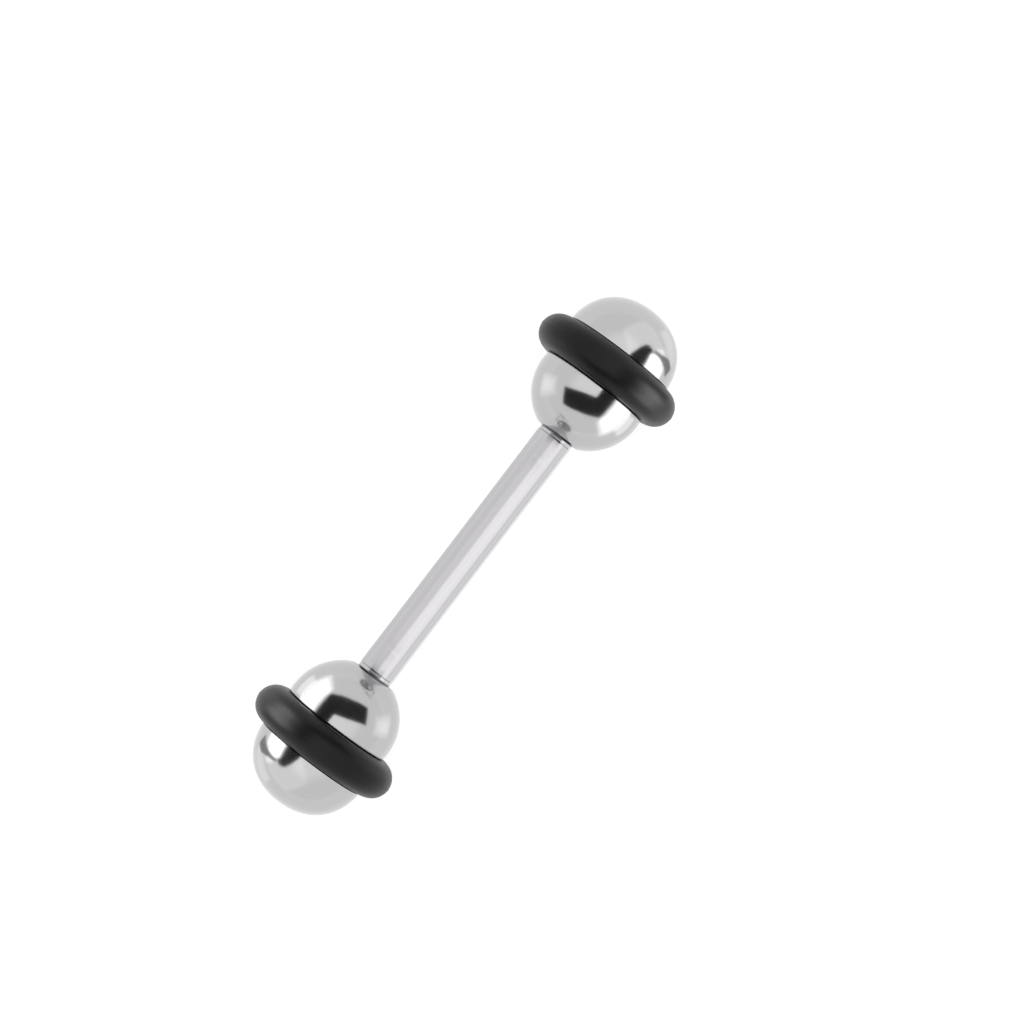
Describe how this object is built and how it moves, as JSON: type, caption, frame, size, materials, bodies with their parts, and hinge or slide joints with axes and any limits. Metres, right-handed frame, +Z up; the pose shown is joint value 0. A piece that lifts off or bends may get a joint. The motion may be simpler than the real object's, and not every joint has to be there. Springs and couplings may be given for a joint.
{
  "type": "tongue barbell",
  "caption": "Straight tongue barbell: a satin steel bar with a screw-on double-domed ball at each end and a black rubber ring round the waist of each ball.",
  "frame": {"origin": "middle of the bar, on its axis; the barbell lies on its two rubber rings, 3.33 mm below the origin", "axes": "+X along the bar towards the right ball, which is the upper right one in the picture; +Z up from the surface that the rings lie on"},
  "size_m": [0.0252, 0.0066, 0.0066],
  "materials": {
    "satin_steel": "satin surgical steel, finely drawn along the bar",
    "polished_steel": "mirror-polished surgical steel",
    "black_rubber": "smooth moulded black rubber with a soft sheen"
  },
  "bodies": {
    "bar": {"bar": "satin_steel"},
    "left_end": {"left_ball": "polished_steel", "left_rubber_ring": "black_rubber"},
    "right_end": {"right_ball": "polished_steel", "right_rubber_ring": "black_rubber"}
  },
  "joints": [
    {"name": "left_ball_unscrew", "type": "slide", "parent": "bar", "child": "left_end", "axis": [-1, 0, 0], "range_m": [0, 0.014]},
    {"name": "right_ball_unscrew", "type": "slide", "parent": "bar", "child": "right_end", "axis": [1, 0, 0], "range_m": [0, 0.014]}
  ]
}
